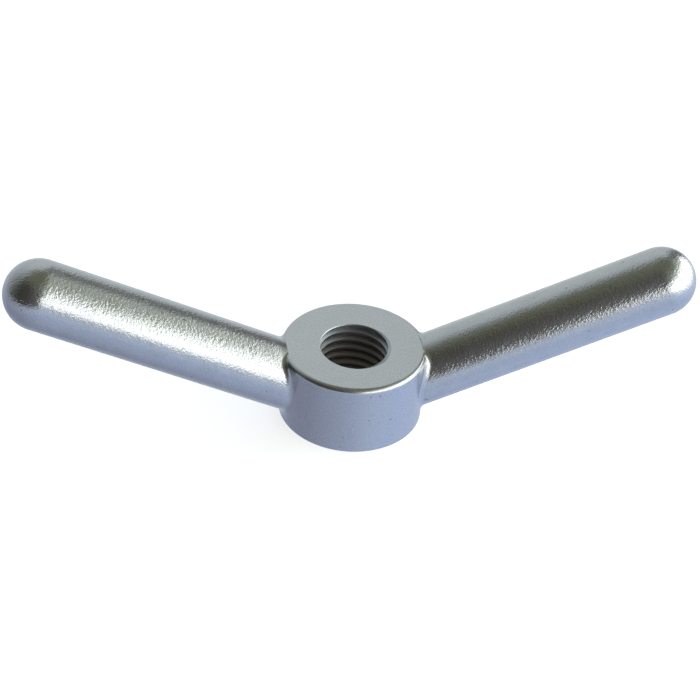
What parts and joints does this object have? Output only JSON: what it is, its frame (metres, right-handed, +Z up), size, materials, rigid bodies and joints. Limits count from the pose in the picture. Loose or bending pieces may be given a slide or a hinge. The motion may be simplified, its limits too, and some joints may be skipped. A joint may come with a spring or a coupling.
{
  "type": "wing nut",
  "caption": "Wing nut with a round threaded boss and straight round bar arms that rise from its sides and end in domed tips.",
  "frame": {"origin": "centre of the boss's seat face, on the thread's axis", "axes": "+Z up along the thread's axis, away from the seat; arms along +X and -X"},
  "size_m": [0.1392, 0.03, 0.0376],
  "materials": {
    "boss_steel": "fine blasted stainless steel, top face machined flat",
    "arm_steel": "bright stainless steel with a coarse orange-peel skin",
    "weld_steel": "stainless weld metal dressed to a concave fillet and blasted"
  },
  "bodies": {
    "root": {"boss": "boss_steel", "left_arm": "arm_steel", "right_arm": "arm_steel", "left_weld": "weld_steel", "right_weld": "weld_steel"}
  },
  "joints": []
}
